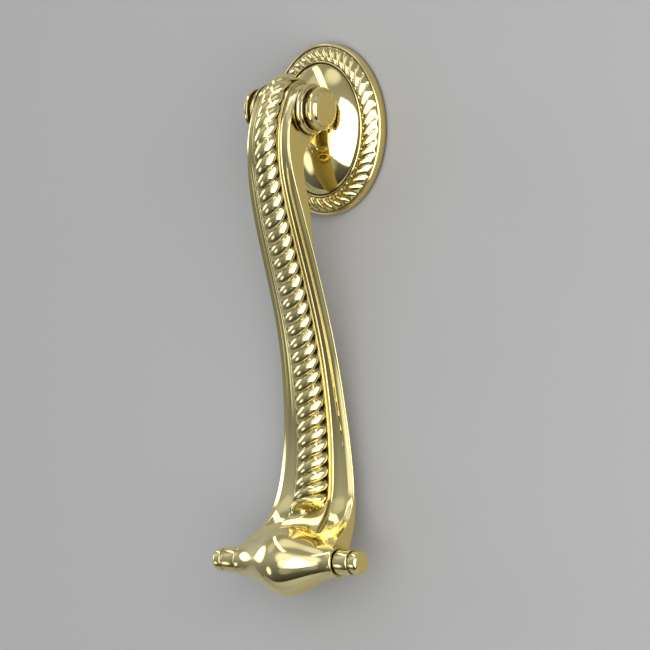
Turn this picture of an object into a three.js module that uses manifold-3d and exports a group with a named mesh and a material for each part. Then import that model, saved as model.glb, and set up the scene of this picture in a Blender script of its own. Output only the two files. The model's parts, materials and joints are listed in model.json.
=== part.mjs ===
// A roped "doctor's" door knocker in polished brass, in millimetres.
// X runs across the door, Z up, and -Y points away from the door. The origin is the centre of the
// oval rose's back, on the door's outer face. The inside of the door is at Y = DOOR_THICKNESS.
// Side shapes are written as (out, z): out is the distance from the door's outer face, so Y = -out.
import * as THREE from 'three';
import { mergeVertices } from 'three/addons/utils/BufferGeometryUtils.js';
import Module from 'manifold-3d';

const wasm = await Module();
wasm.setup();

// ---- driving dimensions -------------------------------------------------------------------
const FIT_GAP = 0.3; // left between pieces that touch

const DOOR_THICKNESS = 44;

const ROSE = { halfX: 23.8, halfZ: 29.65, wall: 3.4, lip: 0.5 };
const ROPE_RIM = { width: 6.4, rise: 3.6, bulge: 1.5, gadroons: 42, slant: 2.4, relief: 0.4 };
const DOME = { foot: 6.4, height: 14.4, fullness: 0.8 };
const ROSE_CORE = { wall: 4.2, boss: 7 }; // the casting is hollow behind, with a boss for the stud

const PIN = { out: 23.8, z: 6.3, radius: 3, reach: 12 };
const LUG = { half: 3.5, knuckle: 6.3, rootLow: -5.4, rootHigh: 4.6, neckTop: 6.2 };
const CAP = { face: 9.0, flange: 8.8, ring: 7.5, groove: 6.5, end: 4.8, length: 6.8 };

const HEAD = { radius: 8.6, inside: 7.0, half: 8.7, ear: 4.8, endAngle: 92, startAngle: 34 };
const BAND_RAISE = 1.7; // height of the flat band under the rope over the arm's outer edges
const ROPE = { pitch: 4.4, relief: 0.5, slant: 0.62, flatness: 0.72 };
const ROPE_END_Z = -133.5;
const COVE_END_Z = -141;

const SPINDLE = { out: 23.8, z: -148.4, waist: 12, neck: 5.4, neckX: 20.5 };
const SPINDLE_END = { ring: 4.45, groove: 3.9, tip: 4.1, ringX: 27.0, tipX: 31, round: 1.2 };

const STUD = { radius: 3, into: 9, end: 52.6 };
const WASHER = { radius: 10, bore: 3.3, thick: 1.4 };
const NUT = { acrossFlats: 10, hex: 5.5, domeRadius: 4.6, bore: 3.3 };

const STRIKE = { z: -115, radius: 7, height: 4.4, edge: 1.8, seat: 4.0 };
const STRIKE_SCREW = { head: 3.2, shank: 1.9, headDepth: 1.9, length: 24 };

// The arm from just below its head to the spindle: its front outer edge, its back edge and half
// its width there, its raised band's half-width and its rope's half-width.
const ARM = [
  { front: [33.4, 6.3], back: [30.6, 5.9], half: 8.75, band: 5.5, rope: 3.9 },
  { front: [35.3, 1.6], back: [29.6, 1.0], half: 8.75, band: 5.5, rope: 3.9 },
  { front: [36.25, -5], back: [28.6, -5.6], half: 9.0, band: 5.6, rope: 3.95 },
  { front: [35.5, -13], back: [28.5, -13.4], half: 9.55, band: 5.9, rope: 4.05 },
  { front: [32.5, -24], back: [27.3, -25], half: 10.5, band: 6.4, rope: 4.2 },
  { front: [25.9, -41.8], back: [23.7, -42.5], half: 11.25, band: 6.8, rope: 4.4 },
  { front: [19.4, -58.9], back: [18, -59.4], half: 11.45, band: 6.95, rope: 4.5 },
  { front: [14, -76], back: [12.7, -76.4], half: 11.95, band: 6.9, rope: 4.5 },
  { front: [10.6, -93], back: [9.3, -93.2], half: 13.05, band: 6.9, rope: 4.7 },
  { front: [8.8, -108], back: [7.4, -108], half: 14.3, band: 7, rope: 5.2 },
  { front: [8.7, -118], back: [7.0, -118], half: 15.5, band: 7.2, rope: 5.5 },
  { front: [10, -127.3], back: [8.1, -128], half: 16.8, band: 7.6, rope: 5.5 },
  { front: [13.7, -134.2], back: [10.4, -135.5], half: 17.8, band: 8, rope: 5.5 },
  { front: [18.2, -138.2], back: [12.8, -140.1], half: 18.5, band: 8.4, rope: 5.5 },
  { front: [23.2, -141.4], back: [15.2, -143.6], half: 19.2, band: 8.6, rope: 5.5 },
  { front: [27.2, -144.8], back: [18.2, -147], half: 20.1, band: 8.8, rope: 5.5 },
];

// ---- meshes and solids --------------------------------------------------------------------
const rad = THREE.MathUtils.degToRad;
const { lerp, smoothstep } = THREE.MathUtils;

function solid(geometry) {
  const bare = geometry.clone();
  for (const name of ['normal', 'uv']) bare.deleteAttribute(name);
  const merged = mergeVertices(bare, 1e-4);
  const build = (corners) => new wasm.Manifold(new wasm.Mesh({
    numProp: 3,
    vertProperties: new Float32Array(merged.attributes.position.array),
    triVerts: new Uint32Array(corners),
  }));
  const corners = merged.index.array;
  const body = build(corners);
  return body.volume() > 0 ? body : build(corners.toReversed()); // faces point out either way
}

function toGeometry(body) {
  const mesh = body.getMesh();
  const geometry = new THREE.BufferGeometry();
  geometry.setAttribute('position', new THREE.BufferAttribute(mesh.vertProperties, 3));
  geometry.setIndex(new THREE.BufferAttribute(mesh.triVerts, 1));
  geometry.computeVertexNormals();
  return geometry;
}

// A closed skin over rings of points, each ring closed on itself. Both end rings are filled
// from their middle. The rings run along the body, and each turns counter-clockwise about it.
function loft(rings) {
  const count = rings[0].length;
  const points = rings.flat();
  const index = [];
  for (let r = 0; r + 1 < rings.length; r++) {
    for (let i = 0; i < count; i++) {
      const j = (i + 1) % count;
      const [a, b] = [r * count + i, r * count + j];
      index.push(a, b, b + count, a, b + count, a + count);
    }
  }
  for (const [r, turn] of [[0, false], [rings.length - 1, true]]) {
    const middle = points.length;
    const sum = rings[r].reduce((s, p) => s.add(p), new THREE.Vector3());
    points.push(sum.divideScalar(count));
    for (let i = 0; i < count; i++) {
      const [a, b] = [r * count + i, r * count + ((i + 1) % count)];
      index.push(...(turn ? [a, b, middle] : [b, a, middle]));
    }
  }
  const geometry = new THREE.BufferGeometry().setFromPoints(points);
  geometry.setIndex(index);
  return geometry;
}

// Turns a profile of [radius, along] about the Y axis, then points "along" to +X or +Y or -Y.
function turned(profile, direction, segments = 32) {
  const shape = profile.map(([radius, along]) => new THREE.Vector2(radius, along));
  const geometry = new THREE.LatheGeometry(shape, segments);
  if (direction === '+X') geometry.rotateZ(-Math.PI / 2);
  if (direction === '-X') geometry.rotateZ(Math.PI / 2);
  if (direction === '-Y') geometry.rotateZ(Math.PI);
  return geometry;
}

// Extrudes a side shape drawn in (out, z) across X, from x = low to x = high.
function slab(shape, low, high, curveSegments = 12) {
  const geometry = new THREE.ExtrudeGeometry(shape, {
    depth: high - low, bevelEnabled: false, curveSegments,
  });
  const place = new THREE.Matrix4().set(
    0, 0, -1, high,
    -1, 0, 0, 0,
    0, 1, 0, 0,
    0, 0, 0, 1,
  );
  return geometry.applyMatrix4(place);
}

function arcPoints(centre, radius, from, to, steps) {
  return Array.from({ length: steps + 1 }, (_, i) => {
    const angle = rad(lerp(from, to, i / steps));
    return [centre[0] + radius * Math.cos(angle), centre[1] + radius * Math.sin(angle)];
  });
}

function sideShape(points) {
  return new THREE.Shape(points.map(([out, z]) => new THREE.Vector2(out, z)));
}

// ---- the rose -----------------------------------------------------------------------------
// One ring of the rose: an oval `inset` mm inside the outer edge, then shrunk towards the middle
// to `scale` of that, at a height off the door.
function ovalRing(inset, height, steps, { scale = 1, wave = () => 0 } = {}) {
  const ring = [];
  for (let i = 0; i < steps; i++) {
    const angle = (i / steps) * 2 * Math.PI;
    const out = height + wave(angle);
    const x = scale * (ROSE.halfX - inset) * Math.cos(angle);
    const z = scale * (ROSE.halfZ - inset) * Math.sin(angle);
    ring.push(new THREE.Vector3(x, -out, z));
  }
  return ring;
}

function ropeRim() {
  const steps = ROPE_RIM.gadroons * 3;
  const start = ROSE.lip;
  const rings = [ovalRing(0, 0, steps), ovalRing(0, ROSE.wall - 0.2, steps),
    ovalRing(start, ROSE.wall, steps)];
  const across = 3;
  for (let k = 1; k <= across; k++) {
    const t = k / (across + 1);
    const swell = Math.sin(t * Math.PI);
    const height = ROSE.wall + ROPE_RIM.rise * t + ROPE_RIM.bulge * swell;
    const wave = (angle) => ROPE_RIM.relief * swell
      * Math.cos(ROPE_RIM.gadroons * angle + ROPE_RIM.slant * t * Math.PI);
    rings.push(ovalRing(start + ROPE_RIM.width * t, height, steps, { wave }));
  }
  rings.push(ovalRing(start + ROPE_RIM.width, ROSE.wall + ROPE_RIM.rise, steps));
  return solid(loft(rings));
}

function domeHeight(scale) { // scale is 1 at the dome's foot and 0 at its crown
  return DOME.foot + (DOME.height - DOME.foot) * (1 - scale * scale) ** DOME.fullness;
}

function domeBody() {
  const edge = ROSE.lip + ROPE_RIM.width - 0.4;
  const steps = 48;
  const rings = [ovalRing(edge, 0, steps)];
  for (const scale of [1, 0.94, 0.85, 0.7, 0.5, 0.28]) {
    rings.push(ovalRing(edge, domeHeight(scale), steps, { scale }));
  }
  return solid(loft(rings));
}

function lugBody() {
  const [out, z] = [PIN.out, PIN.z];
  const inside = DOME.height - 5; // the lug's root is buried in the dome
  const lowRoot = [12.4, LUG.rootLow];
  const reach = Math.hypot(out - lowRoot[0], z - lowRoot[1]);
  const toPin = THREE.MathUtils.radToDeg(Math.atan2(z - lowRoot[1], out - lowRoot[0]));
  const lean = THREE.MathUtils.radToDeg(Math.asin(LUG.knuckle / reach));
  const touch = toPin - lean - 90; // where the lower face meets the knuckle
  const outline = [
    [inside, LUG.rootLow - 2.4], [lowRoot[0] + 0.4, LUG.rootLow - 1.2],
    ...arcPoints([out, z], LUG.knuckle, touch, 178, 20),
    [out - LUG.knuckle - 1.6, LUG.neckTop - 0.4], [inside, LUG.rootHigh + 1],
  ];
  return solid(slab(sideShape(outline), -LUG.half, LUG.half));
}

function roseCore() { // the hollow behind the dome, round the stud's boss
  const edge = ROSE.lip + ROPE_RIM.width + 1;
  const steps = 32;
  const rings = [ovalRing(edge, -1, steps)];
  for (const scale of [1, 0.85, 0.6, 0.3]) {
    rings.push(ovalRing(edge, domeHeight(scale) - ROSE_CORE.wall, steps, { scale }));
  }
  const boss = turned([[0, -2], [ROSE_CORE.boss, -2], [ROSE_CORE.boss - 0.8, 20], [0, 20]], '-Y');
  return solid(loft(rings)).subtract(solid(boss));
}

function backplate() {
  const studHole = turned(
    [[0, -1], [STUD.radius + FIT_GAP, -1], [STUD.radius + FIT_GAP, STUD.into + FIT_GAP],
      [0, STUD.into + 1.4]],
    '-Y', 24,
  );
  return ropeRim().add(domeBody()).subtract(roseCore()).add(lugBody())
    .subtract(solid(studHole)).subtract(pinHole());
}

function pinHole() {
  const geometry = new THREE.CylinderGeometry(PIN.radius + FIT_GAP, PIN.radius + FIT_GAP, 40, 24);
  geometry.rotateZ(Math.PI / 2).translate(0, -PIN.out, PIN.z);
  return solid(geometry);
}

// ---- the knocker arm ----------------------------------------------------------------------
function armStations() {
  const head = [];
  const steps = 5;
  for (let i = 0; i <= steps; i++) {
    const angle = lerp(HEAD.endAngle, HEAD.startAngle, i / steps);
    const [front] = arcPoints([PIN.out, PIN.z], HEAD.radius, angle, angle, 1);
    const [back] = arcPoints([PIN.out, PIN.z], HEAD.inside - 0.4, angle, angle, 1);
    head.push({ front, back, half: HEAD.half, band: ARM[0].band, rope: ARM[0].rope });
  }
  return [...head, ...ARM];
}

function armCurves() {
  const stations = armStations();
  const spline = (pick) => {
    const curve = new THREE.CatmullRomCurve3(stations.map((s) => new THREE.Vector3(...pick(s))));
    curve.curveType = 'catmullrom';
    curve.tension = 0.5;
    return curve;
  };
  return {
    front: spline((s) => [...s.front, s.half]),
    back: spline((s) => [...s.back, 0]),
    relief: spline((s) => [s.band, s.rope, 0]),
  };
}

// The section of the arm: the points of its outline as [x, rise over the front outer edge].
function frontProfile(half, band, rope, raise, ropeRise, ridge) {
  const right = [[half, 0]];
  for (const u of [0.45, 0.8, 0.97]) {
    right.push([lerp(half, band, u), raise * (1 - Math.sqrt(1 - u * u))]);
  }
  right.push([band, raise], [rope, raise]);
  const top = [40, 90, 140].map((angle) => {
    const x = rope * Math.cos(rad(angle));
    return [x, raise + ropeRise * Math.sin(rad(angle)) + ridge(x)];
  });
  const left = right.map(([x, rise]) => [-x, rise]).reverse();
  return [...right, ...top, ...left];
}

function armBody() {
  const { front, back, relief } = armCurves();
  const total = front.getLength();
  const count = Math.ceil(total / (ROPE.pitch / 2));
  const rings = [];
  for (let i = 0; i <= count; i++) {
    const along = Math.min(i * ROPE.pitch / 2, total);
    const t = front.getUtoTmapping(along / total);
    const [f, b, r] = [front, back, relief].map((curve) => curve.getPoint(t));
    const out = new THREE.Vector2(f.x - b.x, f.y - b.y).normalize();
    const raise = BAND_RAISE * smoothstep(f.y, COVE_END_Z, ROPE_END_Z + 6);
    const fade = smoothstep(f.y, ROPE_END_Z, ROPE_END_Z + 4);
    const ridge = (x) => ROPE.relief * fade
      * Math.cos((2 * Math.PI * (along + ROPE.slant * x)) / ROPE.pitch);
    const ropeRise = fade * (ROPE.flatness * r.y - ROPE.relief);
    const profile = frontProfile(f.z, r.x, r.y, raise, ropeRise, ridge);
    const ring = profile.map(([x, rise]) => (
      new THREE.Vector3(x, -(f.x + out.x * rise), f.y + out.y * rise)));
    ring.push(new THREE.Vector3(-f.z, -b.x, b.y), new THREE.Vector3(f.z, -b.x, b.y));
    rings.push(ring);
  }
  return solid(loft(rings));
}

function earSlab(side) {
  const centre = [PIN.out, PIN.z];
  const outline = [
    [35.2, -2], [34.6, 3.5], ...arcPoints(centre, HEAD.radius - 0.05, 20, 223, 22),
    [27.9, -9.6], [28.7, -15], [33.6, -17], [35.3, -10],
  ];
  const inner = HEAD.half - HEAD.ear;
  const shape = sideShape(outline);
  return solid(side > 0 ? slab(shape, inner, HEAD.half) : slab(shape, -HEAD.half, -inner));
}

function slotCut() { // room for the rose's lug between the ears, through the whole swing
  const centre = [PIN.out, PIN.z];
  const inner = HEAD.half - HEAD.ear;
  const outline = [
    ...arcPoints(centre, HEAD.inside, -75, HEAD.endAngle + 4, 20),
    [PIN.out - 12, PIN.z + 14], [PIN.out - 12, PIN.z - 12], [PIN.out + 0.4, PIN.z - 12],
  ];
  return solid(slab(sideShape(outline), -inner, inner));
}

function spindleProfile() { // [radius, x] of the right half, from the middle outward
  const points = [];
  const steps = 9;
  for (let i = 0; i <= steps; i++) { // an S from the ridge at the middle to the neck
    const t = i / steps;
    const drop = 0.5 - 0.5 * Math.cos(Math.PI * Math.pow(t, 0.95));
    points.push([lerp(SPINDLE.waist, SPINDLE.neck, drop), SPINDLE.neckX * t]);
  }
  const { ring, groove, tip, ringX, tipX, round } = SPINDLE_END;
  points.push(
    [groove, SPINDLE.neckX + 0.3], [groove, SPINDLE.neckX + 0.8],
    [ring, SPINDLE.neckX + 1.3], [ring, ringX - 0.4], [groove, ringX], [groove, ringX + 0.5],
    [tip, ringX + 0.9], [tip, tipX - round],
    ...arcPoints([tip - round, tipX - round], round, 30, 90, 2), [0, tipX],
  );
  return points;
}

function spindleBody() {
  const half = spindleProfile();
  const other = half.slice(1).map(([radius, x]) => [radius, -x]).reverse();
  const geometry = turned([...other, ...half], '+X', 40);
  return solid(geometry.translate(0, -SPINDLE.out, SPINDLE.z));
}

function knockerArm() {
  return armBody().add(earSlab(1)).add(earSlab(-1)).subtract(slotCut()).add(spindleBody())
    .subtract(pinHole());
}

// ---- the pivot ----------------------------------------------------------------------------
function pivotPin() {
  const { radius, reach } = PIN;
  const profile = [[0, -reach], [radius - 0.5, -reach], [radius, -reach + 0.5],
    [radius, reach - 0.5], [radius - 0.5, reach], [0, reach]];
  return turned(profile, '+X', 24).translate(0, -PIN.out, PIN.z);
}

function pivotCap(direction) { // a ringed knob, blind-bored for the end of the pin
  const bore = PIN.radius + FIT_GAP;
  const boreEnd = PIN.reach + FIT_GAP - CAP.face;
  const round = CAP.ring - CAP.end;
  const profile = [
    [bore, 0], [CAP.flange, 0], [CAP.flange, 0.6], [CAP.flange - 0.8, 1.3], [CAP.ring, 1.5],
    [CAP.ring, 2.6], [CAP.groove, 3.0], [CAP.groove, 3.4], [CAP.ring, 3.8],
    [CAP.ring, CAP.length - round],
    ...arcPoints([CAP.end, CAP.length - round], round, 22, 90, 3), [0, CAP.length],
    [0, boreEnd], [bore, boreEnd], [bore, 0],
  ];
  const side = direction === '+X' ? 1 : -1;
  return turned(profile, direction).translate(side * CAP.face, -PIN.out, PIN.z);
}

// ---- the fixing through the door ----------------------------------------------------------
function fixingStud() {
  const { radius, into, end } = STUD;
  const profile = [[0, -into], [radius - 0.5, -into], [radius, -into + 0.5],
    [radius, end - 0.5], [radius - 0.5, end], [0, end]];
  return turned(profile, '+Y', 24);
}

function insideWasher() {
  const { radius, bore, thick } = WASHER;
  const [low, high] = [DOOR_THICKNESS, DOOR_THICKNESS + thick];
  return turned([[bore, low], [radius, low], [radius, high - 0.3], [radius - 0.3, high],
    [bore, high], [bore, low]], '+Y');
}

function domeNut() {
  const base = DOOR_THICKNESS + WASHER.thick + FIT_GAP;
  const corner = NUT.acrossFlats / 2 / Math.cos(Math.PI / 6);
  const hexagon = new THREE.CylinderGeometry(corner, corner, NUT.hex, 6);
  hexagon.translate(0, base + NUT.hex / 2, 0);
  const chamfer = turned([[0, base - 1], [corner - 0.35, base - 1], [corner + 1.7, base + 2],
    [corner - 0.4, base + NUT.hex], [0, base + NUT.hex]], '+Y');
  const top = base + NUT.hex - 0.2;
  const dome = turned([[0, top - 1], ...arcPoints([0, top], NUT.domeRadius, 0, 90, 6)], '+Y', 24);
  const boreEnd = STUD.end + FIT_GAP;
  const bore = turned([[0, base - 1], [NUT.bore, base - 1], [NUT.bore, boreEnd],
    [NUT.bore - 1.2, boreEnd + 0.7], [0, boreEnd + 0.7]], '+Y', 24);
  return solid(hexagon).intersect(solid(chamfer)).add(solid(dome)).subtract(solid(bore));
}

// ---- the strike ---------------------------------------------------------------------------
function strikeButton() {
  const { radius, height, edge, seat } = STRIKE;
  const hole = STRIKE_SCREW.shank + FIT_GAP;
  const dish = height - STRIKE_SCREW.headDepth - 0.5;
  const profile = [
    [hole, 0], [radius, 0], [radius, edge],
    ...arcPoints([seat + 0.4, edge], height - edge, 10, 90, 4)
      .map(([out, z]) => [Math.min(out, radius), z]),
    [seat, height], [hole, dish], [hole, 0],
  ];
  return turned(profile, '-Y').translate(0, 0, STRIKE.z);
}

function strikeScrew() {
  const { head, shank, headDepth, length } = STRIKE_SCREW;
  const top = STRIKE.height - 0.3;
  const low = top - headDepth;
  const body = turned([[0, top - length], [0.5, top - length], [shank, top - length + 5],
    [shank, low], [head, top - 0.3], [head, top], [0, top]], '-Y', 24);
  const slot = new THREE.BoxGeometry(2 * head + 2, 1, 1).translate(0, -top, 0);
  return solid(body).subtract(solid(slot)).translate(0, 0, STRIKE.z);
}

// ---- the assembly -------------------------------------------------------------------------
const brass = new THREE.MeshStandardMaterial({ color: 0xd9c684, metalness: 1, roughness: 0.12 });
const turnedBrass = new THREE.MeshStandardMaterial({
  color: 0xd6c27c, metalness: 1, roughness: 0.18,
});
const steel = new THREE.MeshStandardMaterial({ color: 0xb4b4b0, metalness: 1, roughness: 0.35 });

function piece(name, shape, material) {
  const geometry = shape.isBufferGeometry ? toGeometry(solid(shape)) : toGeometry(shape);
  const mesh = new THREE.Mesh(geometry, material);
  mesh.name = name;
  return mesh;
}

const fixedToDoor = new THREE.Group();
fixedToDoor.add(
  piece('backplate', backplate(), brass),
  piece('fixing_stud', fixingStud(), steel),
  piece('inside_washer', insideWasher(), turnedBrass),
  piece('dome_nut', domeNut(), turnedBrass),
  piece('strike_button', strikeButton(), turnedBrass),
  piece('strike_screw', strikeScrew(), turnedBrass),
);

const swinging = new THREE.Group();
swinging.add(
  piece('knocker_arm', knockerArm(), brass),
  piece('pivot_pin', pivotPin(), turnedBrass),
  piece('pivot_cap_right', pivotCap('+X'), brass),
  piece('pivot_cap_left', pivotCap('-X'), brass),
);

const doorKnocker = new THREE.Group();
doorKnocker.add(fixedToDoor, swinging);
export default doorKnocker;
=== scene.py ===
"""A roped "doctor's" door knocker in polished brass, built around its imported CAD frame.

Side shapes are written in millimetres as (out, z): out is the distance from the door's face, so
Y = -out. Everything is turned into metres when its mesh is made.
"""

import json
import math

import bmesh
import bpy
import numpy as np
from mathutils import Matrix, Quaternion, Vector


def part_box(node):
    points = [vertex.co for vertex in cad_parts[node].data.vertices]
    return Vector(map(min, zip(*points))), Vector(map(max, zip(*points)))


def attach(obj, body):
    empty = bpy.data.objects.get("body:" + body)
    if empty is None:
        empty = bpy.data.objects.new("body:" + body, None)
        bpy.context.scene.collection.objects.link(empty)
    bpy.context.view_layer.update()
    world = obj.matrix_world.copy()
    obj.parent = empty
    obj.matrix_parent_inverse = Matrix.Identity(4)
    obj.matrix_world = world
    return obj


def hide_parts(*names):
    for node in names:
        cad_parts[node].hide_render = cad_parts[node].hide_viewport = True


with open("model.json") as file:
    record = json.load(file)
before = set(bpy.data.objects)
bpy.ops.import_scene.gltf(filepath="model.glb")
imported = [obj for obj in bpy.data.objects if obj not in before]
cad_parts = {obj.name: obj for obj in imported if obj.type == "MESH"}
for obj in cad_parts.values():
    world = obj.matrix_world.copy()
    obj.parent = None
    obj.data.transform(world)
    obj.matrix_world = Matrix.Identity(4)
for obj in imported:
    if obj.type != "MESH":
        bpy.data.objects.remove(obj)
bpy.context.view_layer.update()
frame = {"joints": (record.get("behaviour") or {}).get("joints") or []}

# ---- sizes, in millimetres ----------------------------------------------------------------
MM = 0.001
ROSE_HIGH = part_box("backplate")[1] / MM
SPINDLE_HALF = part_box("knocker_arm")[1].x / MM
PIN = Vector(frame["joints"][0]["pos_m"]) / MM
PIN_OUT, PIN_Z, PIN_RADIUS = -PIN.y, PIN.z, 3.0
BORE = PIN_RADIUS + 0.3

ROSE = {"half_x": ROSE_HIGH.x, "half_z": ROSE_HIGH.z, "wall": 3.4, "inner": 6.9}
LIP = {"width": 0.95, "top": 3.95}
LEDGE = {"width": 0.85, "top": 6.75}
RIM = {"bulge": 1.15, "gadroons": 42, "slant": 0.92, "relief": 0.85}
DOME = {"foot": 6.4, "height": 14.4, "fullness": 0.8}
CORE = {"wall": 4.2, "boss": 7.0, "hole": 3.3, "hole_depth": 9.3}
LUG = {"half": 3.5, "knuckle": 6.3, "root_low": -5.4, "root_high": 4.6, "neck_top": 6.2}

HEAD = {"radius": 8.6, "back_radius": 8.7, "half": 8.7, "slot_half": 3.9, "slot_radius": 7.0}
BAND_RAISE = 2.2  # the roped band above the arm's outer edge
HEAD_RAISE = 0.68  # the share of it that is left on the arm's head
MARGIN = {"width": 2.35, "lean": 0.6, "channel": 0.32}  # the plain border and the channel inside it
TAPER = 1.3  # how much narrower the arm's back is on each side
ROPE = {"pitch": 4.9, "flatness": 0.66, "relief": 0.24, "lead": 2.2}
ROPE_END_Z = -133.0
ROPE_NOSE = 0.42  # how much of its last strand the rope takes to end
COVE_FADE = (-147.0, -134.0)
EDGE_ROUND = 0.32

SPINDLE = {"out": 23.8, "z": -148.4, "waist": 12.0, "neck": 5.4, "neck_x": 20.5}
SPINDLE_END = {"ring": 4.45, "groove": 3.9, "tip": 4.1, "ring_x": 27.0, "round": 1.2}

CAP_FACE = 9.0  # where a knob's flange meets the side of the arm's head
STUD = {"pitch": 1.0, "depth": 0.42, "chamfer": 0.8}
WASHER = {"bore": 3.3, "rings": 12, "inner_ring": 4.2}
NUT = {"hexagon": 5.5, "dome": 4.6, "bore": 3.3, "bore_end": 52.9}
STRIKE = {"edge": 1.8, "seat": 4.0, "hole": 2.2, "dish": 2.0}
SCREW = {"head": 3.2, "shank": 1.9, "head_depth": 1.9, "plain": 8.0, "pitch": 1.5, "depth": 0.5}
SLOT = {"half": 0.5, "depth": 1.0}  # the slot in the screw's head

# The arm below its head: front outer edge, back edge, half width, half width of the raised band
# and half width of the rope.
ARM = [
    ((33.45, 6.3), (20.0, -2.1), 8.72, 5.5, 4.35),
    ((34.75, 3.2), (22.7, -4.7), 8.74, 5.5, 4.4),
    ((35.6, 0.2), (25.4, -7.3), 8.78, 5.5, 4.45),
    ((36.2, -4.5), (27.8, -10.0), 9.0, 5.6, 4.6),
    ((35.5, -13.0), (28.3, -15.5), 9.55, 5.6, 4.8),
    ((32.5, -24.0), (27.2, -25.3), 10.5, 5.8, 5.1),
    ((25.9, -41.8), (23.7, -42.5), 11.3, 6.15, 5.45),
    ((19.4, -58.9), (18.0, -59.4), 11.6, 6.4, 5.7),
    ((14.0, -76.0), (12.7, -76.4), 12.1, 6.6, 5.8),
    ((10.6, -93.0), (9.3, -93.2), 13.1, 6.9, 5.95),
    ((8.8, -108.0), (7.4, -108.0), 14.3, 7.0, 6.3),
    ((8.7, -118.0), (7.0, -118.0), 15.5, 7.2, 6.6),
    ((10.0, -127.3), (8.1, -128.0), 16.8, 7.6, 6.9),
    ((13.7, -134.2), (10.4, -135.5), 17.8, 8.0, 7.0),
    ((18.2, -138.2), (12.8, -140.1), 18.5, 8.4, 7.0),
    ((23.2, -141.4), (15.2, -143.6), 19.2, 8.6, 7.0),
    ((27.2, -144.8), (18.2, -147.0), 20.1, 8.8, 7.0),
]


# ---- small helpers ------------------------------------------------------------------------
def extent(node):
    """A node's lowest and highest corners in millimetres."""
    return [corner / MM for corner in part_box(node)]


def lerp(a, b, t):
    return a + (b - a) * t


def smoothstep(x, low, high):
    t = np.clip((x - low) / (high - low), 0, 1)
    return t * t * (3 - 2 * t)


def arc(centre, radius, start, end, steps):
    """Points of an arc, both ends included. Its angles are in degrees."""
    angles = np.radians(np.linspace(start, end, steps + 1))
    return [
        (centre[0] + radius * math.cos(a), centre[1] + radius * math.sin(a)) for a in angles
    ]


def spline(values, knots, at):
    """A natural cubic spline through values at knots, read at the given places."""
    values = np.asarray(values, float)
    values = values.reshape(len(values), -1)
    n = len(knots)
    step = np.diff(knots)
    matrix = np.eye(n)
    right = np.zeros_like(values)
    for i in range(1, n - 1):
        matrix[i, i - 1 : i + 2] = step[i - 1], 2 * (step[i - 1] + step[i]), step[i]
        rise = (values[i + 1] - values[i]) / step[i]
        right[i] = 6 * (rise - (values[i] - values[i - 1]) / step[i - 1])
    bend = np.linalg.solve(matrix, right)
    k = np.clip(np.searchsorted(knots, at) - 1, 0, n - 2)
    h = step[k][:, None]
    a = (knots[k + 1] - at)[:, None] / h
    b = 1 - a
    curve = ((a**3 - a) * bend[k] + (b**3 - b) * bend[k + 1]) * h * h / 6
    return a * values[k] + b * values[k + 1] + curve


def mesh_object(name, points, faces):
    """A new mesh object from points in millimetres (x, out, z)."""
    co = np.asarray(points, float) * MM
    co[:, 1] *= -1
    mesh = bpy.data.meshes.new(name)
    mesh.from_pydata(co.tolist(), [], faces)
    mesh.update()
    obj = bpy.data.objects.new(name, mesh)
    bpy.context.scene.collection.objects.link(obj)
    work = bmesh.new()
    work.from_mesh(mesh)
    bmesh.ops.recalc_face_normals(work, faces=work.faces)
    work.to_mesh(mesh)
    work.free()
    return obj


def loft(name, rings, start_tip=None, end_tip=None):
    """A closed skin over rings of points (x, out, z). Each end is filled from its middle."""
    rings = np.asarray(rings, float)
    count, around = rings.shape[:2]
    points = rings.reshape(-1, 3)
    faces = []
    for r in range(count - 1):
        low, high = r * around, (r + 1) * around
        for i in range(around):
            j = (i + 1) % around
            faces.append((low + i, low + j, high + j, high + i))
    tips = []
    for r, tip in ((0, start_tip), (count - 1, end_tip)):
        middle = len(points) + len(tips)
        tips.append(rings[r].mean(0) if tip is None else np.asarray(tip, float))
        faces += [(r * around + i, r * around + (i + 1) % around, middle) for i in range(around)]
    return mesh_object(name, np.vstack([points, tips]), faces)


def turned(name, profile, axis="X", segments=96, at=(0, 0, 0), flip=False):
    """Turns a profile of (radius, along) about X, or about the door's normal (axis "out").

    The profile's first and last points lie on the axis. With flip, along runs the other way."""
    angles = np.linspace(0, 2 * math.pi, segments, endpoint=False)
    c, s = np.cos(angles), np.sin(angles)
    sign = -1 if flip else 1
    rings = []
    for radius, along in profile[1:-1]:
        across = (c * radius, s * radius, np.full(segments, sign * along))
        order = (2, 0, 1) if axis == "X" else (0, 2, 1)
        rings.append(np.stack([across[i] for i in order], 1) + np.asarray(at))
    tips = []
    for radius, along in (profile[0], profile[-1]):
        tip = (sign * along, 0, 0) if axis == "X" else (0, sign * along, 0)
        tips.append(np.asarray(tip, float) + np.asarray(at))
    return loft(name, rings, *tips)


def slab(name, outline, low, high):
    """A plate across X whose side shape is an outline of (out, z)."""
    rings = [[(x, out, z) for out, z in outline] for x in (low, high)]
    points = np.asarray(rings, float).reshape(-1, 3)
    n = len(outline)
    faces = [(i, (i + 1) % n, n + (i + 1) % n, n + i) for i in range(n)]
    faces += [tuple(range(n)), tuple(range(2 * n - 1, n - 1, -1))]
    return mesh_object(name, points, faces)


def boolean(obj, other, operation):
    """Joins or cuts obj with other, which is then removed."""
    modifier = obj.modifiers.new("boolean", "BOOLEAN")
    modifier.object = other
    modifier.operation = operation
    modifier.solver = "MANIFOLD"
    graph = bpy.context.evaluated_depsgraph_get()
    result = bpy.data.meshes.new_from_object(obj.evaluated_get(graph))
    obj.modifiers.clear()
    old = obj.data
    obj.data = result
    bpy.data.meshes.remove(old)
    bpy.data.objects.remove(other)
    return obj


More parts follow.
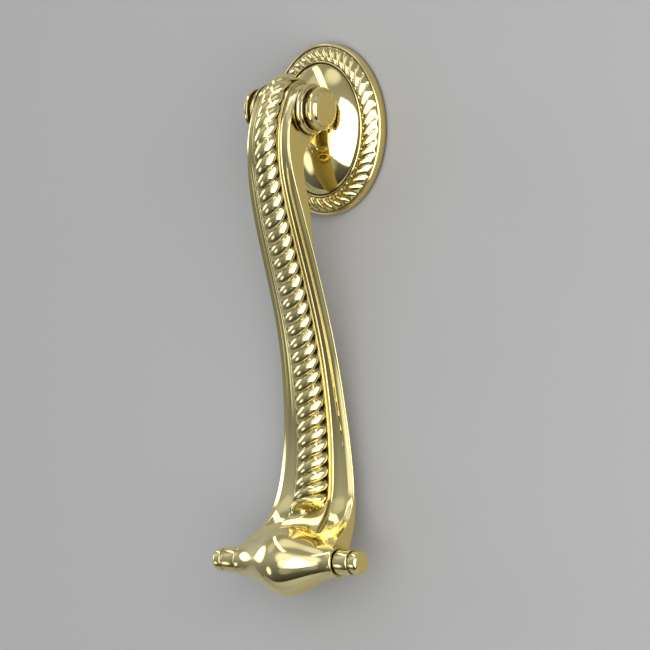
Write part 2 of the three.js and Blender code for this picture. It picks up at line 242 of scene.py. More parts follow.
def soften(obj, region, rounds, reach=0.0012, angle=28, merge=0.0):
    """Rounds the sharp inner corners of a joined casting inside region(point), as a fillet.

    The fillet spreads as far as reach, in metres. Points nearer than merge become one first."""
    work = bmesh.new()
    work.from_mesh(obj.data)
    work.verts.index_update()
    limit = math.radians(angle)
    grown = {}
    for edge in work.edges:
        if len(edge.link_faces) == 2 and edge.calc_face_angle_signed(0) < -limit:
            middle = (edge.verts[0].co + edge.verts[1].co) / 2
            if region(middle / MM):
                grown.update((v, 0.0) for v in edge.verts)
    front = list(grown)
    while front:
        nearer = {}
        for v in front:
            for edge in v.link_edges:
                other = edge.other_vert(v)
                far = grown[v] + edge.calc_length()
                if far < reach and far < grown.get(other, 1):
                    grown[other] = far
                    nearer[other] = True
        front = list(nearer)
    # in the order of the mesh, so every run merges the same points
    verts = sorted(grown, key=lambda v: v.index)
    if merge:
        bmesh.ops.remove_doubles(work, verts=verts, dist=merge)
        verts = [v for v in verts if v.is_valid]
    for _ in range(rounds):
        bmesh.ops.smooth_vert(
            work, verts=verts, factor=0.5, use_axis_x=True, use_axis_y=True, use_axis_z=True
        )
    work.to_mesh(obj.data)
    work.free()


# ---- materials ----------------------------------------------------------------------------
def new_material(name):
    material = bpy.data.materials.new(name)
    material.use_nodes = True
    tree = material.node_tree
    tree.nodes.clear()
    output = tree.nodes.new("ShaderNodeOutputMaterial")
    shader = tree.nodes.new("ShaderNodeBsdfPrincipled")
    tree.links.new(shader.outputs[0], output.inputs[0])
    return material, tree, shader


def add_node(tree, kind, **settings):
    node = tree.nodes.new(kind)
    for key, value in settings.items():
        if hasattr(node, key):
            setattr(node, key, value)
        else:
            node.inputs[key].default_value = value
    return node


def ramp(tree, source, stops):
    node = tree.nodes.new("ShaderNodeValToRGB")
    tree.links.new(source, node.inputs[0])
    elements = node.color_ramp.elements
    while len(elements) < len(stops):
        elements.new(0.5)
    for element, (place, colour) in zip(elements, stops):
        element.position = place
        element.color = (*colour, 1) if len(colour) == 3 else colour
    return node


def brass(name, colour, deep, flank, rough, bump, wave_scale, soft_scale):
    """Polished brass, with painted reflection: faces turned away from the front are mixed towards
    the deeper flank gold, and the hollows are darkened by ambient occlusion as painted shade."""
    material, tree, shader = new_material(name)
    shader.inputs["Metallic"].default_value = 1.0
    place = add_node(tree, "ShaderNodeTexCoord")
    cloud = add_node(tree, "ShaderNodeTexNoise", Scale=soft_scale, Detail=3.0, Roughness=0.5)
    tree.links.new(place.outputs["Object"], cloud.inputs["Vector"])
    tone = ramp(tree, cloud.outputs["Fac"], [(0.3, deep), (0.62, colour)])
    # painted shade: ambient occlusion darkens the colour in creases and hollows, and roughens them
    hollow = add_node(tree, "ShaderNodeAmbientOcclusion", samples=6, Distance=0.0028)
    edge = ramp(tree, hollow.outputs["AO"], [(0.45, (0.08, 0.07, 0.04)), (0.95, (1, 1, 1))])
    # painted reflection: faces turned away from the front get the deeper flank gold
    turned_to = add_node(tree, "ShaderNodeSeparateXYZ")
    tree.links.new(place.outputs["Normal"], turned_to.inputs[0])
    painted_reflection_mask = add_node(tree, "ShaderNodeMapRange")
    for key, value in (("From Min", -0.5), ("From Max", -0.12), ("To Max", 0.85)):
        painted_reflection_mask.inputs[key].default_value = value
    tree.links.new(turned_to.outputs["Y"], painted_reflection_mask.inputs["Value"])
    painted_reflection_mix = add_node(tree, "ShaderNodeMix", data_type="RGBA")
    painted_reflection_mix.inputs["B"].default_value = (*flank, 1)
    tree.links.new(painted_reflection_mask.outputs[0], painted_reflection_mix.inputs["Factor"])
    tree.links.new(tone.outputs[0], painted_reflection_mix.inputs["A"])
    # painted shade: the colour is multiplied by the occlusion darkening
    mix = add_node(tree, "ShaderNodeMix", data_type="RGBA", blend_type="MULTIPLY")
    mix.inputs["Factor"].default_value = 1.0
    tree.links.new(painted_reflection_mix.outputs["Result"], mix.inputs["A"])
    tree.links.new(edge.outputs[0], mix.inputs["B"])
    tree.links.new(mix.outputs["Result"], shader.inputs["Base Color"])
    scratch = add_node(tree, "ShaderNodeTexNoise", Scale=1500.0, Detail=2.0)
    tree.links.new(place.outputs["Object"], scratch.inputs["Vector"])
    gloss = ramp(tree, scratch.outputs["Fac"], [(0.3, (rough[0],) * 3), (0.75, (rough[1],) * 3)])
    dull = ramp(tree, hollow.outputs["AO"], [(0.3, (0.32,) * 3), (0.85, (0.0,) * 3)])
    sheen = add_node(tree, "ShaderNodeMath", operation="ADD")
    tree.links.new(gloss.outputs[0], sheen.inputs[0])
    tree.links.new(dull.outputs[0], sheen.inputs[1])
    tree.links.new(sheen.outputs[0], shader.inputs["Roughness"])
    wave = add_node(tree, "ShaderNodeTexNoise", Scale=wave_scale, Detail=1.0, Roughness=0.4)
    tree.links.new(place.outputs["Object"], wave.inputs["Vector"])
    lift = add_node(tree, "ShaderNodeBump", Strength=bump, Distance=0.0004)
    tree.links.new(wave.outputs["Fac"], lift.inputs["Height"])
    tree.links.new(lift.outputs[0], shader.inputs["Normal"])
    return material


def zinc(name):
    """Bright zinc-plated steel with a faint mottle."""
    material, tree, shader = new_material(name)
    shader.inputs["Metallic"].default_value = 1.0
    place = add_node(tree, "ShaderNodeTexCoord")
    mottle = add_node(tree, "ShaderNodeTexVoronoi", Scale=900.0)
    tree.links.new(place.outputs["Object"], mottle.inputs["Vector"])
    tone = ramp(tree, mottle.outputs["Distance"],
                [(0.0, (0.5, 0.5, 0.49)), (1.0, (0.68, 0.69, 0.7))])
    tree.links.new(tone.outputs[0], shader.inputs["Base Color"])
    gloss = ramp(tree, mottle.outputs["Distance"], [(0.0, (0.3,) * 3), (1.0, (0.42,) * 3)])
    tree.links.new(gloss.outputs[0], shader.inputs["Roughness"])
    return material


# the third colour of each brass is the painted reflection on its flanks and underside
CAST = brass("polished_brass", (0.90, 0.79, 0.41), (0.86, 0.74, 0.34),
             (0.80, 0.61, 0.18), (0.05, 0.10), 0.05, 90, 28)
TURNED = brass("turned_brass", (0.88, 0.77, 0.39), (0.83, 0.70, 0.32),
               (0.78, 0.59, 0.18), (0.08, 0.15), 0.03, 140, 40)
STEEL = zinc("zinc_steel")


def finish(obj, node, body, material, shade=34):
    """Gives a piece its material and body, and stands it for its CAD node. Edges that turn by
    more than shade, in degrees, stay sharp."""
    obj.data.materials.clear()
    obj.data.materials.append(material)
    for polygon in obj.data.polygons:
        polygon.material_index = 0
    obj.data.shade_smooth()
    obj.data.set_sharp_from_angle(angle=math.radians(shade))
    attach(obj, body)
    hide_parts(node)
    return obj


# ---- the rose -----------------------------------------------------------------------------
def oval(half_x, half_z, out, angles):
    """A ring of points (x, out, z)."""
    return np.stack([half_x * np.cos(angles), out + 0 * angles, half_z * np.sin(angles)], 1)


def dome_height(scale):
    rise = (1 - scale * scale) ** DOME["fullness"]
    return DOME["foot"] + (DOME["height"] - DOME["foot"]) * rise


def lobe(turns, sharp=0.75):
    """A row of rounded lobes with sharp valleys between them, 1 at each crest."""
    f = turns - np.floor(turns)
    return (1 - np.abs(2 * f - 1) ** 2.0) ** sharp


def rose_rings(angles):
    half_x, half_z = ROSE["half_x"], ROSE["half_z"]
    turn = angles / (2 * math.pi)
    rings = []
    inner, wall = ROSE["inner"], ROSE["wall"]
    foot_x, foot_z = half_x - inner, half_z - inner
    for scale in np.sin(np.radians(np.linspace(2, 80, 46))):
        rings.append(oval(foot_x * scale, foot_z * scale, dome_height(scale), angles))
    profile = [(inner, DOME["foot"] + 0.05)]
    for t in np.linspace(0.06, 1, 7):  # the plain ledge inside the rope
        swell = math.sin(math.pi * t * 0.94)
        profile.append((inner - LEDGE["width"] * t, DOME["foot"] + 0.05 + 0.4 * swell))
    for inset, out in profile:
        rings.append(oval(half_x - inset, half_z - inset, out, angles))
    rope_in, rope_out = inner - LEDGE["width"], LIP["width"] + 0.1
    across = 26
    for k in range(across + 1):
        t = k / across  # 0 at the inner edge of the rope, 1 at its outer edge
        inset = lerp(rope_in, rope_out, t)
        swell = math.sin(math.pi * t)
        # the gadroons lean over in an S
        lean = RIM["slant"] * (t - 0.10 * math.sin(2 * math.pi * t))
        crest = lobe(RIM["gadroons"] * turn - lean, 0.62)
        base = lerp(DOME["foot"] - 0.1, LIP["top"] - 0.15, t) + RIM["bulge"] * swell**0.7
        ring = oval(half_x - inset, half_z - inset, 0, angles)
        ring[:, 1] = base - RIM["relief"] * min(1, 3.2 * swell) * lerp(1, 0.7, t) * (1 - crest)
        rings.append(ring)
    edge = []
    for t in np.linspace(0, 0.94, 9):  # the plain lip outside it
        edge.append((LIP["width"] * (1 - t),
                     lerp(LIP["top"] - 0.05, wall + 0.15, t) + 0.28 * math.sin(math.pi * t)))
    edge += [(0.03, wall - 0.02), (0, wall - 0.25)]
    edge += [(0, 0.35), (0.1, 0.1), (0.3, 0.0)]
    edge += [(inner + 0.7, 0.0), (inner + 1.0, 0.25)]
    for inset, out in edge:
        rings.append(oval(half_x - inset, half_z - inset, out, angles))
    core_x, core_z = half_x - inner - 1, half_z - inner - 1
    for scale in (1.0, 0.97, 0.9, 0.8, 0.68, 0.56, 0.47):
        out = max(dome_height(scale) - CORE["wall"], 1.2)
        # the hollow turns from oval to round where it meets the boss
        round_off = smoothstep(1 - scale, 0, 0.5)
        x = lerp(core_x * scale, CORE["boss"] + 0.8, round_off)
        z = lerp(core_z * scale, CORE["boss"] + 0.8, round_off)
        rings.append(oval(x, z, out, angles))
    boss, hole = CORE["boss"], CORE["hole"]
    for radius, out in ((boss + 0.2, 7.2), (boss, 6.6), (boss, 0.4), (boss - 0.4, 0.0),
                        (hole + 0.4, 0.0), (hole, 0.4), (hole, CORE["hole_depth"])):
        rings.append(oval(radius, radius, out, angles))
    return rings


def lug_outline():
    lean_from = (DOME["height"] - 1, LUG["root_low"])
    reach = math.hypot(PIN_OUT - lean_from[0], PIN_Z - lean_from[1])
    to_pin = math.degrees(math.atan2(PIN_Z - lean_from[1], PIN_OUT - lean_from[0]))
    touch = to_pin - math.degrees(math.asin(LUG["knuckle"] / reach)) - 90
    inside = DOME["height"] - 5
    return [
        (inside, LUG["root_low"] - 2.4), (lean_from[0] + 0.4, LUG["root_low"] - 1.2),
        *arc((PIN_OUT, PIN_Z), LUG["knuckle"], touch, 178, 48),
        (PIN_OUT - LUG["knuckle"] - 1.6, LUG["neck_top"] - 0.4), (inside, LUG["root_high"] + 1),
    ]


def pin_hole():
    profile = [(0, -20), (BORE, -20), (BORE, 20), (0, 20)]
    return turned("pin_hole", profile, at=(0, PIN_OUT, PIN_Z), segments=64)


def make_rose():
    angles = np.linspace(0, 2 * math.pi, RIM["gadroons"] * 14, endpoint=False)
    rose = loft("rose", rose_rings(angles), start_tip=(0, DOME["height"], 0),
                end_tip=(0, CORE["hole_depth"] + 1.0, 0))
    boolean(rose, slab("lug", lug_outline(), -LUG["half"], LUG["half"]), "UNION")
    boolean(rose, pin_hole(), "DIFFERENCE")
    soften(rose, lambda p: abs(p.x) < 9 and -p.y > 9.5 and p.z > -14, 12)
    return finish(rose, "backplate", "door_side", CAST, shade=48)


# ---- the knocker arm ----------------------------------------------------------------------
def arm_stations():
    head = []
    centre = (PIN_OUT, PIN_Z)
    for front, back in ((104, 113), (92, 140), (78, 166), (64, 190), (50, 207), (35, 220)):
        head.append((
            arc(centre, HEAD["radius"], front, front, 1)[0],
            arc(centre, HEAD["back_radius"], back, back, 1)[0],
            HEAD["half"], ARM[0][3], ARM[0][4],
        ))
    return head + ARM


def arm_frames(step=0.3):
    """Sections along the arm: front edge, back edge, outward normal, widths and length so far."""
    stations = arm_stations()
    front = np.array([s[0] for s in stations])
    back = np.array([s[1] for s in stations])
    widths = np.array([s[2:] for s in stations])
    knots = np.concatenate([[0], np.cumsum(np.hypot(*np.diff(front, axis=0).T))])
    fine = np.linspace(0, knots[-1], 6000)
    curve = spline(front, knots, fine)
    length = np.concatenate([[0], np.cumsum(np.hypot(*np.diff(curve, axis=0).T))])
    at = np.interp(np.arange(0, length[-1], step), length, fine)
    along = np.interp(at, fine, length)
    edge = spline(front, knots, at)
    tangent = np.gradient(edge, along, axis=0)
    tangent /= np.hypot(*tangent.T)[:, None]
    normal = np.stack([-tangent[:, 1], tangent[:, 0]], 1)
    rear = np.stack([np.interp(at, knots, back[:, k]) for k in range(2)], 1)
    kernel = np.hanning(21) / np.hanning(21).sum()  # eases the joints of the back edge
    for k in range(2):
        padded = np.pad(rear[:, k], 10, mode="reflect", reflect_type="odd")
        rear[:, k] = np.convolve(padded, kernel, mode="valid")
    return edge, rear, normal, spline(widths, knots, at), along


ROPE_ANGLES = np.radians(np.linspace(0, 180, 41))


def rope_surface(rope, raise_, along, angles, fade):
    """The rope's half-round, with its strands as lobes that wind round it. Fade is 1 where the
    rope stands at its full height, and 0 where there is none."""
    crest = lobe((along - ROPE["lead"] * angles) / ROPE["pitch"])
    radius = rope * (1 - ROPE["relief"] * (1 - crest) * fade)
    height = (ROPE["flatness"] * radius * np.sin(angles) - 0.12) * fade
    return np.stack([radius * np.cos(angles), raise_ + height], 1)


def arm_section(half, band, rope, raise_, border, along, fade):
    """One outline of the arm as (x, rise above the front outer edge), from back to back: a
    leaning plain border, a hollow channel, the step up to the band, and the rope."""
    e = EDGE_ROUND
    side = [(half - e * (1 - math.sin(a)), -e * (1 - math.cos(a)))
            for a in np.radians(np.linspace(90, 0, 6))]
    share = raise_ / BAND_RAISE
    width = MARGIN["width"] * lerp(0.3, 1, border)
    ridge = MARGIN["lean"] * share * lerp(0.4, 1, border)
    hollow = ridge - MARGIN["channel"] * share * border
    cove = [(lerp(half - e, half - width, t), ridge * t * (1.25 - 0.25 * t))
            for t in (0.2, 0.4, 0.6, 0.8, 0.95)]
    start, stop, corner = half - width - 0.08, band + 0.75, 0.7 * share
    cove.append((start, ridge - 0.03 * share))
    for t in np.linspace(0.06, 1, 9):
        dip = lerp(ridge, hollow, min(1, 2.4 * t) ** 0.6)
        cove.append((lerp(start, stop, t), dip + 0.22 * share * t * t))
    foot = hollow + 0.22 * share
    for angle in np.radians(np.linspace(15, 82, 6)):
        cove.append((stop - 0.7 * math.sin(angle), foot + corner * (1 - math.cos(angle))))
    lip = [(band + 0.03, raise_ - 0.3 * share), (band + 0.01, raise_ - 0.14 * share),
           (band - 0.05, raise_ - 0.04 * share), (band - 0.2, raise_)]
    flat = [(lerp(band - 0.2, rope + 0.1, t), raise_) for t in (0.33, 0.66, 1.0)]
    middle = rope_surface(rope, raise_, along, ROPE_ANGLES, fade)
    right = np.array(side + cove + lip + flat)
    left = right[::-1] * (-1, 1)
    return np.vstack([right, middle, left])


def make_arm():
    edge, rear, normal, widths, along = arm_frames()
    rings = []
    # the rope ends where a strand ends
    last = math.floor(np.interp(-ROPE_END_Z, -edge[:, 1], along) / ROPE["pitch"])
    for i in range(len(edge)):
        half, band, rope = widths[i]
        raise_ = BAND_RAISE * float(smoothstep(edge[i, 1], *COVE_FADE))
        raise_ *= float(lerp(1, HEAD_RAISE, smoothstep(edge[i, 1], -34, -6)))
        strand = (along[i] - ROPE["lead"] * ROPE_ANGLES) / ROPE["pitch"]
        left = np.clip((last - strand) / ROPE_NOSE, 0, 1)
        fade = np.sqrt(1 - (1 - left) ** 2)
        fade = fade * smoothstep(along[i], -0.5, 5.0)
        border = float(1 - smoothstep(edge[i, 1], -24, -3))
        profile = arm_section(half, band, rope, raise_, border, along[i], fade)
        front = np.stack([
            profile[:, 0],
            edge[i, 0] + normal[i, 0] * profile[:, 1],
            edge[i, 1] + normal[i, 1] * profile[:, 1],
        ], 1)
        e = EDGE_ROUND
        inward = edge[i] - rear[i]
        inward = inward / max(np.hypot(*inward), 1e-6)
        down = edge[i, 1]
        narrow = TAPER * (1 - smoothstep(down, -52, -26)) * smoothstep(down, -134, -112)
        rim = half - narrow
        deep = np.hypot(*(edge[i] - rear[i]))
        corner = [(lerp(-rim, -half, t), lerp(e, deep - e, t)) for t in (0.5, 0.25, 0.1, 0.03)]
        corner += [(-rim, e), (-(rim - e * 0.3), e * 0.3), (-(rim - e), 0.0)]
        back = [(x, *(rear[i] + inward * d)) for x, d in corner]
        back += [(x, *rear[i]) for x in np.linspace(-0.9 * rim, 0.9 * rim, 13)]
        back += [(-x, *(rear[i] + inward * d)) for x, d in corner[::-1]]
        rings.append(np.vstack([front, back]))
    arm = loft("arm", rings)
    boolean(arm, spindle(), "UNION")
    boolean(arm, head_slot(), "DIFFERENCE")
    boolean(arm, pin_hole(), "DIFFERENCE")
    soften(arm, lambda p: p.z < -132 and abs(p.x) < 18.2, 60, reach=0.0021, merge=0.00016)
    return finish(arm, "knocker_arm", "arm", CAST, shade=52)


def head_slot():
    """Room between the ears for the rose's lug, through the whole swing."""
    outline = [
        *arc((PIN_OUT, PIN_Z), HEAD["slot_radius"], -75, 98, 40),
        (PIN_OUT - 14, PIN_Z + 14), (PIN_OUT - 14, PIN_Z - 14), (PIN_OUT + 0.4, PIN_Z - 14),
    ]
    return slab("head_slot", outline, -HEAD["slot_half"], HEAD["slot_half"])


def ringed(low, high, radius, ease=0.4):
    """A turned ring with eased corners, as profile points of (radius, along)."""
    turn = np.radians((0, 30, 60, 90))
    rise = [(radius - ease * (1 - math.sin(a)), low + ease * (1 - math.cos(a))) for a in turn]
    fall = [(radius - ease * (1 - math.cos(a)), high - ease * (1 - math.sin(a))) for a in turn]
    return rise + fall


def spindle():
    s, neck, neck_x, tip_x = SPINDLE_END, SPINDLE["neck"], SPINDLE["neck_x"], SPINDLE_HALF
    profile = []
    for t in np.linspace(0, 1, 40):
        drop = 0.5 - 0.5 * math.cos(math.pi * t**0.95)
        profile.append((lerp(SPINDLE["waist"], neck, drop), neck_x * t))
    profile += [(neck - 0.12, neck_x + 0.22), (neck - 0.4, neck_x + 0.32)]
    profile += [(s["groove"], neck_x + 0.4), (s["groove"], neck_x + 0.75)]
    profile += ringed(neck_x + 0.75, s["ring_x"], s["ring"])
    profile += [(s["groove"] - 0.1, s["ring_x"]), (s["groove"] - 0.1, s["ring_x"] + 0.5)]
    profile += ringed(s["ring_x"] + 0.5, tip_x, s["tip"], 0.5)[:4]
    r = s["round"]
    profile += [(s["tip"] - r * (1 - math.cos(a)), tip_x - r * (1 - math.sin(a)))
                for a in np.radians(np.linspace(0, 84, 9))]
    profile += [(2.0, tip_x - 0.01), (0, tip_x)]
    other = [(radius, -x) for radius, x in profile[:0:-1]]
    return turned("spindle", other + profile, segments=120,
                  at=(0, SPINDLE["out"], SPINDLE["z"]))


# ---- the pivot ----------------------------------------------------------------------------
def make_cap(name, node, flip):
    """A ringed knob: a flange, a ring, a wide dark groove, a second ring and a flat end."""
    end = extent("pivot_cap_right")[1].x - CAP_FACE
    profile = [
        (0, 0), (8.55, 0), (8.8, 0.2), (8.8, 0.65), (8.6, 0.95), (8.2, 1.15), (7.95, 1.25),
        *arc((7.55, 1.6), 0.4, -10, 70, 5), (7.2, 2.0),
        *[(5.9 + 1.3 * (1 - math.sin(a)), lerp(2.0, 4.0, (1 - math.cos(a)) / 2))
          for a in np.radians(np.linspace(16, 164, 12))],
        (7.2, 4.0), *arc((7.25, 4.25), 0.25, -60, 0, 3), (7.5, 4.9),
        *arc((7.1, 4.95), 0.4, 0, 70, 5),
        (6.75, 5.45), (6.45, 5.55), (6.2, 5.75),
        *arc((5.1, 5.7), 1.05, 8, 84, 8), (4.7, end - 0.01), (0, end),
    ]
    cap = turned(name, profile, at=((-CAP_FACE if flip else CAP_FACE), PIN_OUT, PIN_Z), flip=flip,
                 segments=128)
    return finish(cap, node, "arm", CAST)


def half_pin(radius, reach):
    """Half a pin's profile of (radius, along): chamfered end, a retaining groove, plain shank."""
    end = [(0, reach), (radius - 0.75, reach), (radius - 0.5, reach - 0.05)]
    end += [(radius, reach - 0.5), (radius, reach - 1.5), (radius - 0.12, reach - 1.6)]
    end += [(radius - 0.12, reach - 2.0), (radius, reach - 2.1), (radius, 0.5)]
    return end


def make_pin():
    half = half_pin(PIN_RADIUS, extent("pivot_pin")[1].x)
    profile = [(radius, -along) for radius, along in half] + half[::-1]
    pin = turned("hinge_pin", profile, at=(0, PIN_OUT, PIN_Z), segments=64)
    return finish(pin, "pivot_pin", "arm", TURNED)


# ---- the fixing through the door ----------------------------------------------------------
def thread_wave(along, pitch, angles):
    """A thread's helix: 0 on its crest line and 1 on its root line."""
    return np.abs(2 * ((along / pitch - angles / (2 * math.pi)) % 1) - 1)


def threaded(name, radius, low, high):
    """A threaded rod along the door's normal, from low to high (Y, in millimetres)."""
    pitch, depth, chamfer = STUD["pitch"], STUD["depth"], STUD["chamfer"]
    angles = np.linspace(0, 2 * math.pi, 32, endpoint=False)
    rings = []
    for y in np.arange(low, high + pitch / 16, pitch / 8).clip(low, high):
        flank = np.clip(1.25 * thread_wave(y, pitch, angles) - 0.1, 0, 1)
        size = radius - depth * flank
        ease = min((y - low) / chamfer, (high - y) / chamfer, 1)
        size = np.minimum(size, radius - depth * (1 - ease))
        rings.append(np.stack([size * np.cos(angles), 0 * angles - y, size * np.sin(angles)], 1))
    return loft(name, rings, (0, -low, 0), (0, -high, 0))


def make_stud():
    low, high = extent("fixing_stud")
    stud = threaded("threaded_stud", high.x, low.y, high.y)
    return finish(stud, "fixing_stud", "door_side", STEEL, 45)


def drill(obj, radius, low, high, at=(0, 0, 0), flip=True):
    """Cuts a round hole along the door's normal, from low to high behind its face, or in front
    of it without flip."""
    profile = [(0, low), (radius, low), (radius, high), (0, high)]
    boolean(obj, turned("drill", profile, axis="out", segments=64, at=at, flip=flip),
            "DIFFERENCE")


def make_washer():
    low, high = extent("inside_washer")
    r, y0, y1 = high.x, low.y, high.y
    face = [(0, y0), (r - 0.35, y0), (r - 0.1, y0 + 0.1), (r, y0 + 0.35)]
    face += [(r - 0.3 * (1 - math.cos(a)), y1 - 0.3 * (1 - math.sin(a)))
             for a in np.radians(np.linspace(0, 90, 6))]
    for turn in range(WASHER["rings"]):  # the lathe's fine rings
        radius = lerp(r - 1.0, WASHER["inner_ring"], turn / WASHER["rings"])
        face += [(radius, y1), (radius - 0.15, y1 - 0.03), (radius - 0.3, y1)]
    washer = turned("door_washer", face + [(0, y1)], axis="out", segments=128, flip=True)
    drill(washer, WASHER["bore"], y0 - 1, y1 + 1)
    return finish(washer, "inside_washer", "door_side", TURNED)


def make_nut():
    """A domed hexagon nut with chamfered corners and a turned neck under its dome."""
    low, high = extent("dome_nut")
    flats, dome = min(high.x, high.z), NUT["dome"]
    base, top = low.y, low.y + NUT["hexagon"]
    angles = np.linspace(0, 2 * math.pi, 144, endpoint=False)
    turn_x = 0.0 if high.z < high.x else 30.0  # which way the corners point
    shape = flats / np.cos(np.radians((np.degrees(angles) + 30 + turn_x) % 60 - 30))
    rings = []

    def ring(y, limit):
        size = np.minimum(shape, limit)
        rings.append(np.stack([size * np.cos(angles), 0 * angles - y, size * np.sin(angles)], 1))

    corner = flats / math.cos(math.radians(30))
    for t in np.linspace(0, 1, 5):
        ring(base + 0.4 * t, corner - 0.45 * (1 - t) ** 1.5)
    for t in np.linspace(0.1, 0.9, 5):
        ring(lerp(base + 0.4, top - 0.5, t), corner)
    for t in np.linspace(0, 1, 7):
        ring(top - 0.5 * (1 - t) ** 0.8, corner - 0.6 * t * t)
    ring(top, flats - 0.15)
    for radius, y in ((dome + 0.1, top), (dome - 0.15, top + 0.1), (dome - 0.2, top + 0.35)):
        ring(y, radius)
    rise = high.y - top
    for a in np.radians(np.linspace(8, 88, 22)):
        ring(top + 0.2 + (rise - 0.2) * math.sin(a), (dome - 0.02) * math.cos(a))
    nut = loft("domed_nut", rings, (0, -base, 0), (0, -high.y, 0))
    drill(nut, NUT["bore"], base - 1, NUT["bore_end"])
    return finish(nut, "dome_nut", "door_side", TURNED, 30)


# ---- the strike ---------------------------------------------------------------------------
def make_strike():
    """A low round button with a fine groove round its side and a dished seat for its screw."""
    low, high = extent("strike_button")
    at = (0, 0, (low.z + high.z) / 2)
    r, height = high.x, -low.y
    edge, seat, hole, dish = (STRIKE[key] for key in ("edge", "seat", "hole", "dish"))
    profile = [(0, 0), (r - 0.25, 0), (r, 0.25), (r, 0.9), (r - 0.18, 1.05), (r - 0.18, 1.3),
               (r, 1.45), (r, edge)]
    crown = height - edge
    for a in np.radians(np.linspace(4, 90, 18)):
        profile.append((min(r, seat + 0.4 + crown * math.cos(a)), edge + crown * math.sin(a)))
    profile += [(seat, height), (seat - 0.15, height - 0.1), (hole, dish), (0, dish)]
    button = turned("strike_plate", profile, axis="out", segments=128, at=at)
    drill(button, hole, -1, 3, at, flip=False)
    return finish(button, "strike_button", "door_side", TURNED, 30)


def make_screw():
    """A countersunk wood screw with a slotted, slightly raised head."""
    low, high = extent("strike_screw")
    top, tip, z = -low.y, -high.y, (low.z + high.z) / 2
    head, shank, pitch = SCREW["head"], SCREW["shank"], SCREW["pitch"]
    angles = np.linspace(0, 2 * math.pi, 48, endpoint=False)
    rings = []

    def ring(along, size):
        size = size + 0 * angles
        rings.append(np.stack([size * np.cos(angles), along + 0 * angles,
                               z + size * np.sin(angles)], 1))

    ring(top, 1.2)
    ring(top, head - 0.3)
    ring(top - 0.06, head - 0.08)
    ring(top - 0.3, head)
    for t in np.linspace(0.15, 1, 6):
        ring(lerp(top - 0.3, top - SCREW["head_depth"], t), lerp(head, shank, t))
    plain = top - SCREW["plain"]
    ring(plain, shank)
    for along in np.arange(plain - pitch / 8, tip + 0.3, -pitch / 8):
        taper = min(1, (along - tip) / 5)
        cut = np.clip(1.3 * thread_wave(along, pitch, angles) - 0.2, 0, 1)
        ring(along, taper * (shank - SCREW["depth"] * cut))
    screw = loft("strike_wood_screw", rings, (0, top, z), (0, tip, z))
    floor, half = top - SLOT["depth"], SLOT["half"]
    outline = [(floor, z - half), (top + 1, z - half), (top + 1, z + half), (floor, z + half)]
    boolean(screw, slab("slot", outline, -head - 1, head + 1), "DIFFERENCE")
    return finish(screw, "strike_screw", "door_side", TURNED, 40)


make_rose()
make_arm()
make_cap("pivot_knob_right", "pivot_cap_right", False)
make_cap("pivot_knob_left", "pivot_cap_left", True)
make_pin()
make_stud()
make_washer()
make_nut()
make_strike()
make_screw()


# ---- the camera, backdrop and lights ------------------------------------------------------
AZIMUTH = 37.0
AIM = Vector((12.1, -20.0, -67.5)) * MM
FRAME_WIDTH = 0.2224
LENS, SENSOR = 400.0, 36.0


def toward(azimuth, elevation):
    """A direction, in degrees: azimuth from straight out of the door towards the right."""
    a, e = math.radians(azimuth), math.radians(elevation)
    return Vector((math.sin(a) * math.cos(e), -math.cos(a) * math.cos(e), math.sin(e)))


def make_camera():
    back = toward(AZIMUTH, 0)
    data = bpy.data.cameras.new("camera")
    data.lens, data.sensor_width = LENS, SENSOR
    data.clip_start, data.clip_end = 0.05, 50
    camera = bpy.data.objects.new("camera", data)
    camera.location = AIM + back * (FRAME_WIDTH * LENS / SENSOR)
    camera.rotation_mode = "QUATERNION"
    camera.rotation_quaternion = (-back).to_track_quat("-Z", "Y")
    bpy.context.scene.collection.objects.link(camera)
    bpy.context.scene.camera = camera


def one_sided(name, colour, rough):
    """A plain painted surface that lets the camera through from behind."""
    material, tree, shader = new_material(name)
    shader.inputs["Base Color"].default_value = (*colour, 1)
    shader.inputs["Roughness"].default_value = rough
    geometry = add_node(tree, "ShaderNodeNewGeometry")
    clear = add_node(tree, "ShaderNodeBsdfTransparent")
    mix = add_node(tree, "ShaderNodeMixShader")
    output = next(n for n in tree.nodes if n.type == "OUTPUT_MATERIAL")
    tree.links.new(geometry.outputs["Backfacing"], mix.inputs[0])
    tree.links.new(shader.outputs[0], mix.inputs[1])
    tree.links.new(clear.outputs[0], mix.inputs[2])
    tree.links.new(mix.outputs[0], output.inputs[0])
    return material


def plane(name, corners, material):
    mesh = bpy.data.meshes.new(name)
    mesh.from_pydata(corners, [], [(0, 1, 2, 3)])
    mesh.materials.append(material)
    obj = bpy.data.objects.new(name, mesh)
    bpy.context.scene.collection.objects.link(obj)
    return obj


def make_stage():
    paint = one_sided("wall_paint", (0.40, 0.40, 0.402), 0.55)
    wall_y, floor_z, reach = 0.0004, -1.3, 2.2
    plane("wall", [(-reach, wall_y, floor_z), (reach, wall_y, floor_z),
                   (reach, wall_y, reach), (-reach, wall_y, reach)], paint)
    floor_paint = one_sided("floor_paint", (0.62, 0.62, 0.61), 0.7)
    plane("floor", [(-reach, -0.5, floor_z), (reach, -0.5, floor_z),
                    (reach, wall_y, floor_z), (-reach, wall_y, floor_z)], floor_paint)


def softbox(name, azimuth, elevation, width, height, strength, tilt):
    """An area light of that angular size, in degrees, as seen from the knocker. Azimuth is
    measured from straight out of the door towards the right."""
    far = 1.3
    out = toward(azimuth, elevation)
    data = bpy.data.lights.new(name, "AREA")
    data.shape = "RECTANGLE"
    data.size = 2 * far * math.tan(math.radians(width / 2))
    data.size_y = 2 * far * math.tan(math.radians(height / 2))
    data.energy = strength * math.pi * data.size * data.size_y
    light = bpy.data.objects.new(name, data)
    light.location = AIM + out * far
    light.rotation_mode = "QUATERNION"
    facing = (-out).to_track_quat("-Z", "Y")
    light.rotation_quaternion = facing @ Quaternion((0, 0, 1), math.radians(tilt))
    bpy.context.scene.collection.objects.link(light)
    return light


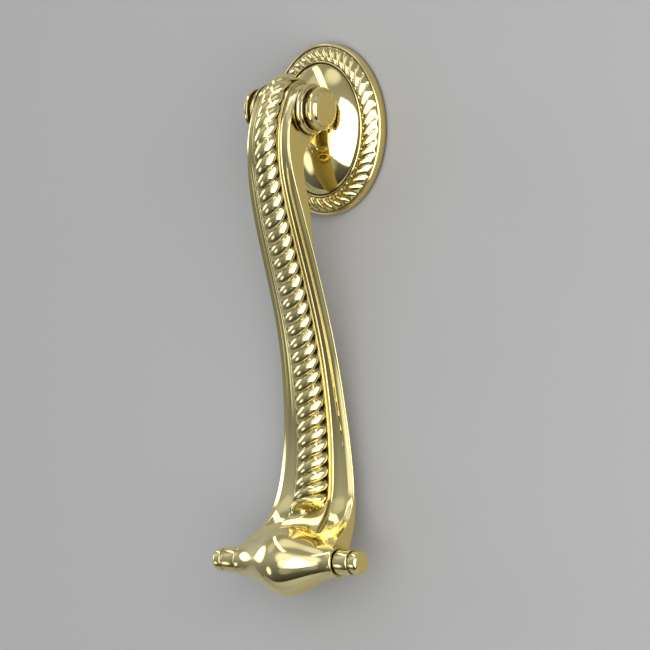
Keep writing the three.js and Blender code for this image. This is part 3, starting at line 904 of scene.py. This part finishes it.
def make_world(glows):
    """A plain room: grey walls, a paler ceiling and a dark floor in front of the door, with
    soft glows of light. A glow is (azimuth, elevation, half angle, strength), in degrees."""
    world = bpy.data.worlds.new("room")
    world.use_nodes = True
    tree = world.node_tree
    place = add_node(tree, "ShaderNodeTexCoord")
    split = add_node(tree, "ShaderNodeSeparateXYZ")
    tree.links.new(place.outputs["Generated"], split.inputs[0])
    height = add_node(tree, "ShaderNodeMapRange")
    height.inputs["From Min"].default_value = -1
    tree.links.new(split.outputs["Z"], height.inputs["Value"])
    tone = ramp(tree, height.outputs[0], [
        (0.0, (0.03, 0.03, 0.027)), (0.067, (0.05, 0.048, 0.043)), (0.15, (0.1, 0.1, 0.09)),
        (0.25, (0.16, 0.165, 0.155)), (0.38, (0.22, 0.225, 0.22)), (0.5, (0.32, 0.33, 0.34)),
        (0.67, (0.42, 0.43, 0.44)), (0.85, (0.33, 0.33, 0.32)), (1.0, (0.35, 0.35, 0.33)),
    ])
    total = tone.outputs[0]
    for azimuth, elevation, half, strength in glows:
        dot = add_node(tree, "ShaderNodeVectorMath", operation="DOT_PRODUCT")
        tree.links.new(place.outputs["Generated"], dot.inputs[0])
        dot.inputs[1].default_value = toward(azimuth, elevation)
        fall = add_node(tree, "ShaderNodeMapRange", interpolation_type="SMOOTHSTEP")
        fall.inputs["From Min"].default_value = math.cos(math.radians(half))
        fall.inputs["From Max"].default_value = math.cos(math.radians(half * 0.35))
        fall.inputs["To Max"].default_value = strength
        tree.links.new(dot.outputs["Value"], fall.inputs["Value"])
        add = add_node(tree, "ShaderNodeVectorMath", operation="ADD")
        tree.links.new(total, add.inputs[0])
        tree.links.new(fall.outputs[0], add.inputs[1])
        total = add.outputs[0]
    tree.links.new(total, tree.nodes["Background"].inputs[0])
    bpy.context.scene.world = world


GLOWS = [
    (-78, 12, 18, 2.6), (6, -10, 16, 1.0), (4, 12, 22, 0.8), (-4, 62, 20, 0.6),
    (-46, 36, 18, 0.3), (4, -32, 14, 0.2), (-46, -24, 13, 1.2),
]
make_camera()
make_stage()
softbox("right_window", 41, -2, 56, 66, 2.5, tilt=-20)
softbox("ceiling_strip", -38, 50, 76, 8, 1.7, tilt=-16)
make_world(GLOWS)
bpy.context.scene.view_settings.view_transform = "Standard"
